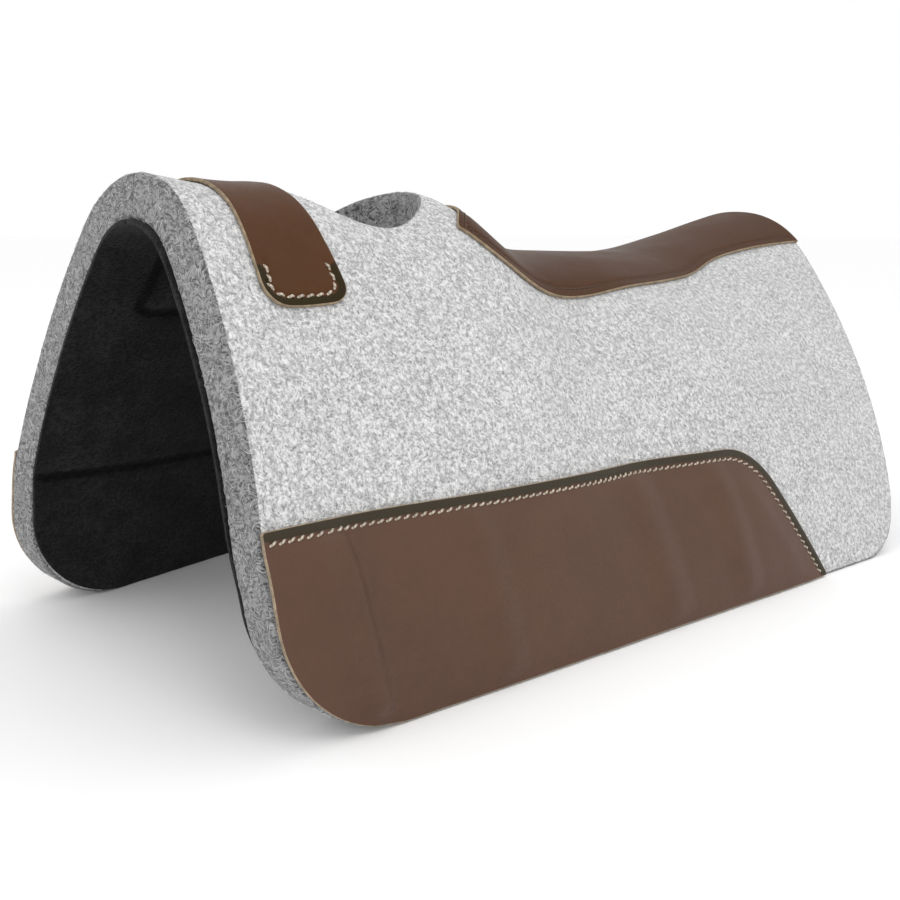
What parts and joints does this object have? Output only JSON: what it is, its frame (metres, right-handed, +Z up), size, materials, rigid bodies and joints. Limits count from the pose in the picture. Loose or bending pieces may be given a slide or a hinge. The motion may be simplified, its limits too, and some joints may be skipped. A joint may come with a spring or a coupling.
{
  "type": "western saddle pad",
  "caption": "Contoured western saddle pad: thick grey felt halves over a dark lining, with leather wear patches, wither strap, spine leather and wither hole.",
  "frame": {"origin": "bottom centre of the whole pad, on the surface that the skirts' lower edges rest on", "axes": "-Y towards the horse's head (wither end), +X towards the horse's left flap, +Z up"},
  "size_m": [0.538, 0.8002, 0.337],
  "materials": {
    "grey_felt": "dense pressed wool felt, speckled light grey",
    "dark_lining": "thin black needled felt",
    "brown_leather": "smooth semi-gloss brown leather",
    "strap_leather": "smooth semi-gloss red-brown leather",
    "pale_thread": "waxed off-white thread",
    "brown_thread": "waxed brown thread",
    "grey_thread": "grey thread",
    "black_thread": "black thread"
  },
  "bodies": {
    "root": {"left_felt_panel": "grey_felt", "right_felt_panel": "grey_felt", "left_lining": "dark_lining", "right_lining": "dark_lining", "wither_strap": "strap_leather", "spine_leather": "brown_leather", "left_wear_leather": "brown_leather", "right_wear_leather": "brown_leather", "left_wear_stitches": "pale_thread", "right_wear_stitches": "pale_thread", "strap_stitches": "pale_thread", "spine_leather_stitches": "brown_thread", "felt_seam_stitches": "grey_thread", "lining_seam_stitches": "black_thread"}
  },
  "joints": []
}
